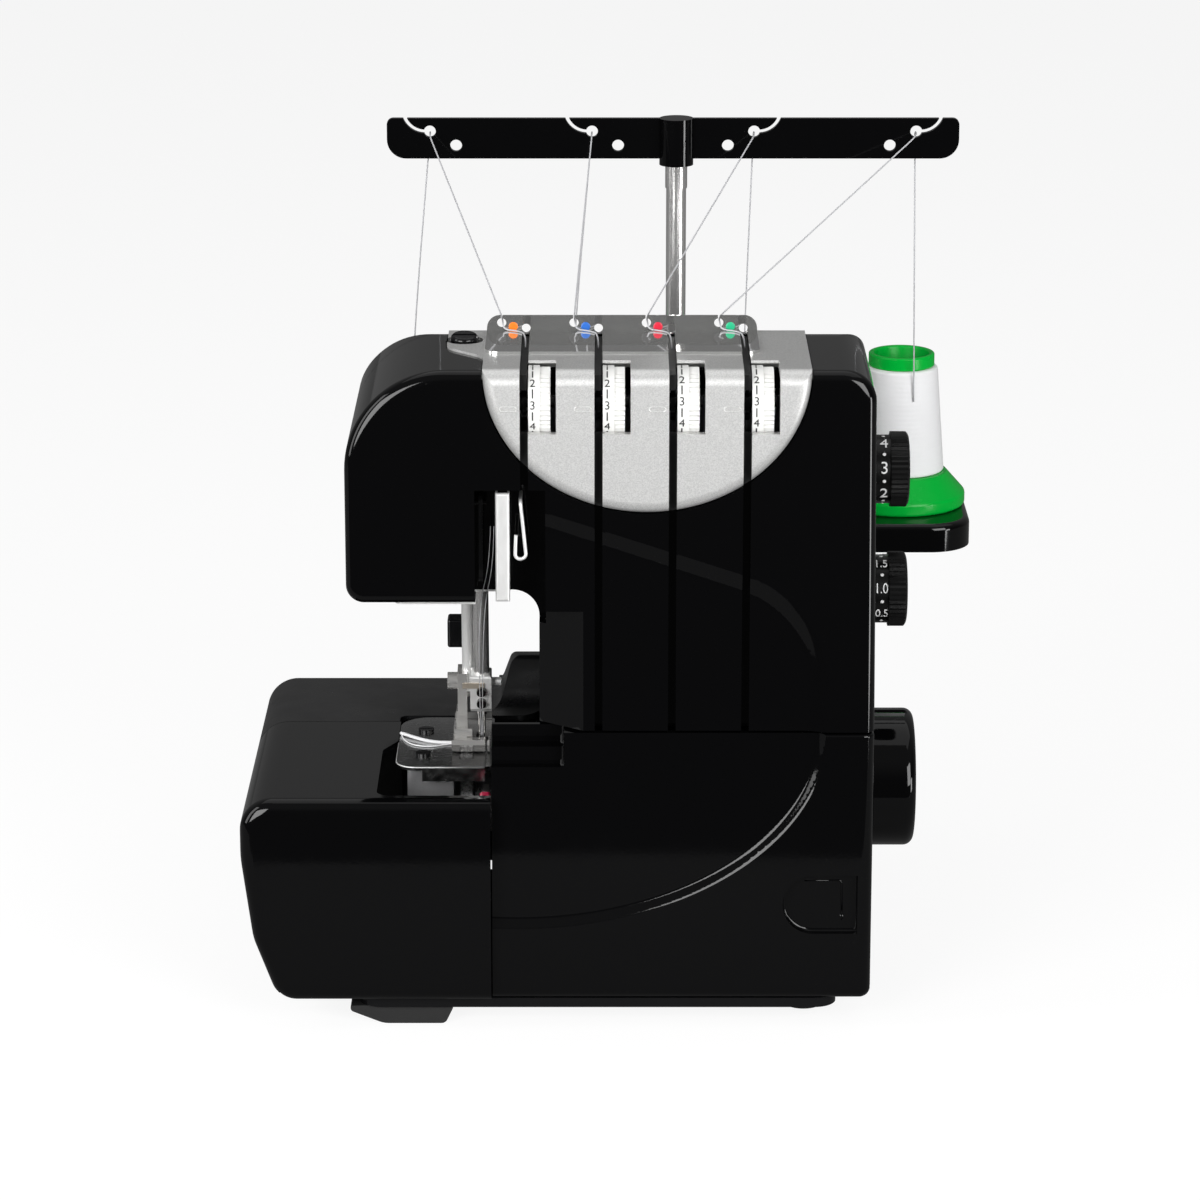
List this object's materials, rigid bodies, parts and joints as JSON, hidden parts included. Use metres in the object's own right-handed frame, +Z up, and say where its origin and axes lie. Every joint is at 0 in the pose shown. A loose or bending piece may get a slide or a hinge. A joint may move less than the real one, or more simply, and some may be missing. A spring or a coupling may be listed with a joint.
{
  "type": "overlock sewing machine",
  "caption": "Table-top overlock serger with hinged looper and side covers, dial tensions, and a telescopic thread tree holding cones of thread.",
  "frame": {"origin": "on the table, under the centre of the whole machine with its thread tree", "axes": "+Z up, front with the thread slots towards -Y, hand wheel towards +X"},
  "size_m": [0.34, 0.282, 0.3809],
  "materials": {
    "black_gloss": "piano gloss black moulding",
    "black_satin": "satin black moulding",
    "silver_panel": "silver metallic lacquer",
    "nickel": "bright nickel plate",
    "tool_steel": "ground steel",
    "cast_alloy": "as cast",
    "bronze": "sintered bronze",
    "belt_rubber": "toothed rubber belt",
    "dial_white": "white moulding",
    "cone_green": "green moulding",
    "thread_white": "white sewing thread",
    "tip_red": "red tip"
  },
  "bodies": {
    "machine": {"base_cover": "black_gloss", "base_pan": "black_satin", "bed_cover": "black_gloss", "cone_cores": "cone_green", "cone_windings": "thread_white", "drive_belt": "belt_rubber", "front_cover": "black_gloss", "head_plate": "nickel", "lower_knife": "tool_steel", "machine_frame": "cast_alloy", "motor": "tool_steel", "needle_plate": "nickel", "plate_screws": "nickel", "pole_tube": "nickel", "power_inlet": "black_satin", "rear_cover": "black_gloss", "rubber_feet": "belt_rubber", "shaft_bushes": "bronze", "side_cover_pin": "tool_steel", "spool_pins": "black_satin", "spool_stand": "black_satin", "take_up_guard": "nickel", "tension_panel": "silver_panel", "tension_posts": "black_satin", "thread_1": "thread_white", "thread_2": "thread_white", "thread_3": "thread_white", "thread_4": "thread_white", "thread_guide_plate": "nickel"},
    "drive_shaft": {"hand_wheel": "black_gloss", "main_shaft": "tool_steel", "main_pulley": "cast_alloy"},
    "motor_rotor": {"motor_pulley": "cast_alloy"},
    "needle_unit": {"needle_bar": "nickel", "needle_clamp": "tool_steel", "needles": "tool_steel"},
    "take_up": {"take_up_lever": "black_satin"},
    "presser_unit": {"presser_bar": "nickel", "presser_foot": "nickel", "presser_foot_screw": "nickel"},
    "lifter": {"presser_lifter": "black_satin"},
    "pressure_knob": {"pressure_screw": "black_satin"},
    "upper_looper_arm": {"upper_looper": "tool_steel"},
    "lower_looper_arm": {"lower_looper": "tool_steel"},
    "upper_knife_arm": {"upper_knife": "tool_steel"},
    "main_feed": {"main_feed_dog": "tool_steel"},
    "differential_feed": {"differential_feed_dog": "tool_steel"},
    "finger_lever": {"stitch_finger_lever": "tip_red"},
    "dial_1": {"tension_dial_1": "dial_white"},
    "dial_2": {"tension_dial_2": "dial_white"},
    "dial_3": {"tension_dial_3": "dial_white"},
    "dial_4": {"tension_dial_4": "dial_white"},
    "length_dial": {"stitch_length_dial": "black_satin"},
    "ratio_dial": {"differential_feed_dial": "black_satin"},
    "hinge_rod": {"looper_cover_rod": "tool_steel"},
    "looper_door": {"looper_cover": "black_gloss"},
    "side_door": {"side_cover": "black_gloss"},
    "thread_mast": {"pole_upper": "nickel", "thread_guide_bar": "black_satin"},
    "rocker": {"power_switch": "black_satin"}
  },
  "joints": [
    {"name": "hand_wheel_turn", "type": "hinge", "parent": "machine", "child": "drive_shaft", "pos_m": [0.05, -0.06, 0.0945], "axis": [1, 0, 0], "continuous": true},
    {"name": "motor_turn", "type": "hinge", "parent": "machine", "child": "motor_rotor", "pos_m": [0.05, 0.002, 0.046], "axis": [1, 0, 0], "continuous": true},
    {"name": "needle_bar_stroke", "type": "slide", "parent": "machine", "child": "needle_unit", "axis": [0, -0.1736, 0.9848], "range_m": [0, 0.024]},
    {"name": "take_up_swing", "type": "hinge", "parent": "machine", "child": "take_up", "pos_m": [-0.0616, -0.118, 0.241], "axis": [1, 0, 0], "range_deg": [0, 15.2]},
    {"name": "presser_rise", "type": "slide", "parent": "machine", "child": "presser_unit", "axis": [0, -0.1736, 0.9848], "range_m": [0, 0.006]},
    {"name": "lifter_swing", "type": "hinge", "parent": "machine", "child": "lifter", "pos_m": [-0.066, 0.02, 0.216], "axis": [0, 1, 0], "range_deg": [0, 50]},
    {"name": "pressure_turn", "type": "hinge", "parent": "machine", "child": "pressure_knob", "pos_m": [-0.0695, -0.04314, 0.11056], "axis": [0, -0.1736, 0.9848], "range_deg": [-180, 180]},
    {"name": "upper_looper_rise", "type": "slide", "parent": "machine", "child": "upper_looper_arm", "axis": [0, 0, 1], "range_m": [0, 0.0141]},
    {"name": "lower_looper_swing", "type": "hinge", "parent": "machine", "child": "lower_looper_arm", "pos_m": [-0.038, -0.057, 0.046], "axis": [0, 1, 0], "range_deg": [0, 9.7]},
    {"name": "upper_knife_rise", "type": "slide", "parent": "machine", "child": "upper_knife_arm", "axis": [0, 0, 1], "range_m": [0, 0.0061]},
    {"name": "main_feed_stroke", "type": "slide", "parent": "machine", "child": "main_feed", "axis": [0, 1, 0], "range_m": [-0.0025, 0.0025]},
    {"name": "differential_feed_stroke", "type": "slide", "parent": "machine", "child": "differential_feed", "axis": [0, 1, 0], "range_m": [-0.0025, 0.0025]},
    {"name": "stitch_finger_slide", "type": "slide", "parent": "machine", "child": "finger_lever", "axis": [0, 1, 0], "range_m": [0, 0.005]},
    {"name": "tension_dial_1_turn", "type": "hinge", "parent": "machine", "child": "dial_1", "pos_m": [-0.03615, -0.1225, 0.2875], "axis": [1, 0, 0], "range_deg": [-216, 108]},
    {"name": "tension_dial_2_turn", "type": "hinge", "parent": "machine", "child": "dial_2", "pos_m": [-0.00365, -0.1225, 0.2875], "axis": [1, 0, 0], "range_deg": [-216, 108]},
    {"name": "tension_dial_3_turn", "type": "hinge", "parent": "machine", "child": "dial_3", "pos_m": [0.02885, -0.1225, 0.2875], "axis": [1, 0, 0], "range_deg": [-216, 108]},
    {"name": "tension_dial_4_turn", "type": "hinge", "parent": "machine", "child": "dial_4", "pos_m": [0.06135, -0.1225, 0.2875], "axis": [1, 0, 0], "range_deg": [-216, 108]},
    {"name": "stitch_length_turn", "type": "hinge", "parent": "machine", "child": "length_dial", "pos_m": [0.12, -0.075, 0.245], "axis": [1, 0, 0], "range_deg": [-110, 110]},
    {"name": "differential_ratio_turn", "type": "hinge", "parent": "machine", "child": "ratio_dial", "pos_m": [0.12, -0.075, 0.189], "axis": [1, 0, 0], "range_deg": [-110, 110]},
    {"name": "looper_cover_shift", "type": "slide", "parent": "machine", "child": "hinge_rod", "axis": [1, 0, 0], "range_m": [0, 0.008]},
    {"name": "looper_cover_open", "type": "hinge", "parent": "hinge_rod", "child": "looper_door", "pos_m": [0, -0.132, 0.0185], "axis": [1, 0, 0], "range_deg": [0, 85]},
    {"name": "side_cover_open", "type": "hinge", "parent": "machine", "child": "side_door", "pos_m": [-0.164, -0.0285, 0.085], "axis": [0, 0, -1], "range_deg": [0, 90]},
    {"name": "thread_mast_slide", "type": "slide", "parent": "machine", "child": "thread_mast", "axis": [0, 0, 1], "range_m": [-0.06, 0], "deforming": ["thread_1", "thread_2", "thread_3", "thread_4"]},
    {"name": "power_switch_rock", "type": "hinge", "parent": "machine", "child": "rocker", "pos_m": [0.109, 0.026, 0.066], "axis": [0, 1, 0], "range_deg": [-6, 6]}
  ],
  "couplings": [
    {"joint": "motor_turn", "follows": "hand_wheel_turn", "ratio": 3},
    {"joint": "take_up_swing", "follows": "needle_bar_stroke", "rad_per_m": 10.9},
    {"joint": "upper_looper_rise", "follows": "needle_bar_stroke", "ratio": 0.58},
    {"joint": "lower_looper_swing", "follows": "needle_bar_stroke", "rad_per_m": 7},
    {"joint": "upper_knife_rise", "follows": "needle_bar_stroke", "ratio": 0.25},
    {"joint": "main_feed_stroke", "follows": "needle_bar_stroke", "ratio": 0.1},
    {"joint": "differential_feed_stroke", "follows": "needle_bar_stroke", "ratio": 0.1},
    {"joint": "presser_rise", "follows": "lifter_swing", "m_per_rad": 0.00687}
  ]
}
